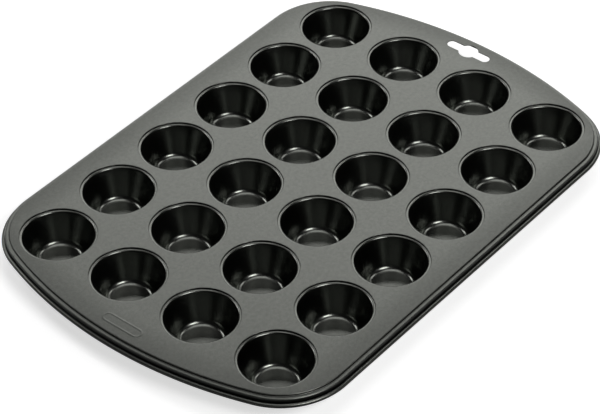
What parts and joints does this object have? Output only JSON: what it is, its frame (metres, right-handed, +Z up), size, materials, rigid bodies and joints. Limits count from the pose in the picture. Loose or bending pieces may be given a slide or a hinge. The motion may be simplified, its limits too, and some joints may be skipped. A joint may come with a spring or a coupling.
{
  "type": "muffin tin",
  "caption": "Bakery tin for small muffins: dark non-stick sheet frame with a grid of tapered drawn cups, stepped rim, edge curled round a wire, and a hanging slot.",
  "frame": {"origin": "centre of the footprint, in the plane that the cup bottoms stand on", "axes": "+X along the long side towards the hanging slot, +Y across the short side towards cup row a, +Z up out of the cups' mouths"},
  "size_m": [0.3806, 0.2662, 0.0217],
  "materials": {
    "nonstick_frame": "satin non-stick coating on sheet steel",
    "nonstick_cup": "satin non-stick coating on drawn sheet steel",
    "wire_steel": "bright drawn wire"
  },
  "bodies": {
    "root": {"frame": "nonstick_frame", "rim_wire": "wire_steel", "cup_a1": "nonstick_cup", "cup_a2": "nonstick_cup", "cup_a3": "nonstick_cup", "cup_a4": "nonstick_cup", "cup_a5": "nonstick_cup", "cup_a6": "nonstick_cup", "cup_b1": "nonstick_cup", "cup_b2": "nonstick_cup", "cup_b3": "nonstick_cup", "cup_b4": "nonstick_cup", "cup_b5": "nonstick_cup", "cup_b6": "nonstick_cup", "cup_c1": "nonstick_cup", "cup_c2": "nonstick_cup", "cup_c3": "nonstick_cup", "cup_c4": "nonstick_cup", "cup_c5": "nonstick_cup", "cup_c6": "nonstick_cup", "cup_d1": "nonstick_cup", "cup_d2": "nonstick_cup", "cup_d3": "nonstick_cup", "cup_d4": "nonstick_cup", "cup_d5": "nonstick_cup", "cup_d6": "nonstick_cup"}
  },
  "joints": []
}
